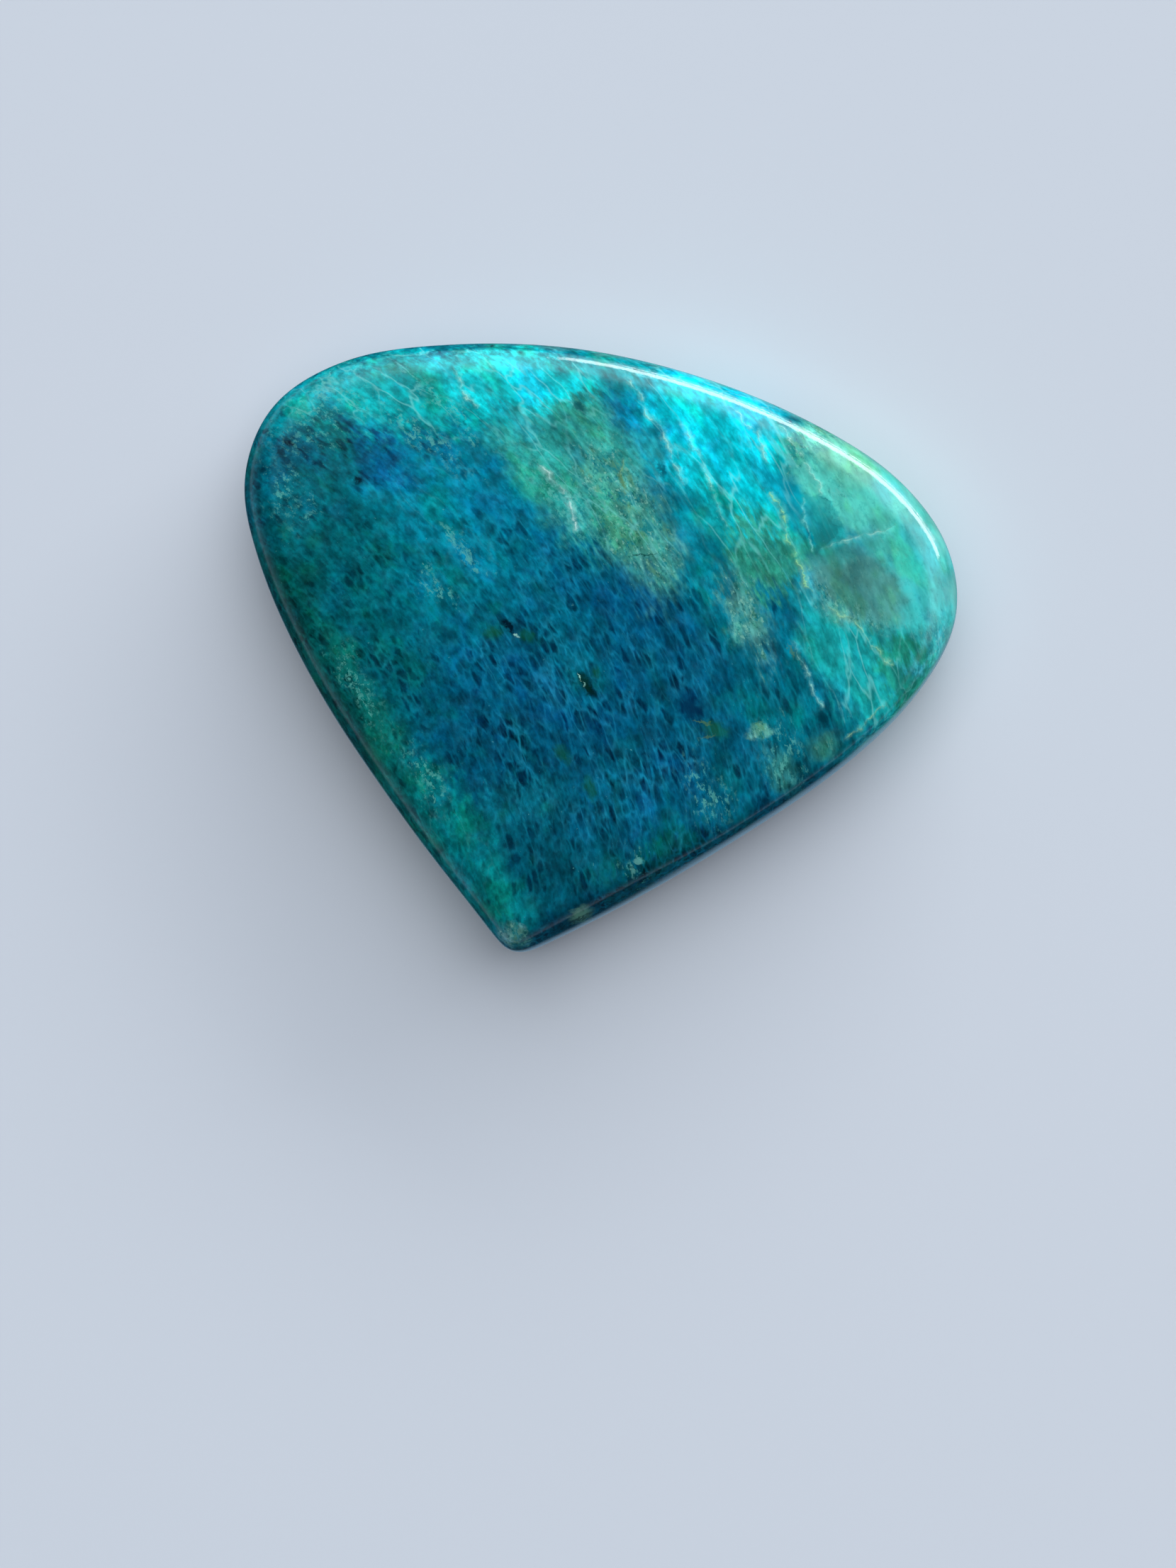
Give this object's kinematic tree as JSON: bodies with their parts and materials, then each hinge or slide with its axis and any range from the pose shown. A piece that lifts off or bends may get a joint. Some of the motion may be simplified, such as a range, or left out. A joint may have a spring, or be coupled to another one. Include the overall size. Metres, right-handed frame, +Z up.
{
  "type": "polished shattuckite cabochon",
  "caption": "Polished freeform cabochon: a rounded triangle of mottled blue and green stone with a low dome, rounded edges, one steeper side and a flat back.",
  "frame": {"origin": "middle of the outline's box, on the flat back that the stone rests on", "axes": "+X along the length, towards the narrower rounded end; +Y across it, away from the blunt point; +Z up through the dome"},
  "size_m": [0.0424, 0.0364, 0.0068],
  "materials": {
    "polished_stone": "polished"
  },
  "bodies": {
    "root": {"shattuckite_stone": "polished_stone"}
  },
  "joints": []
}
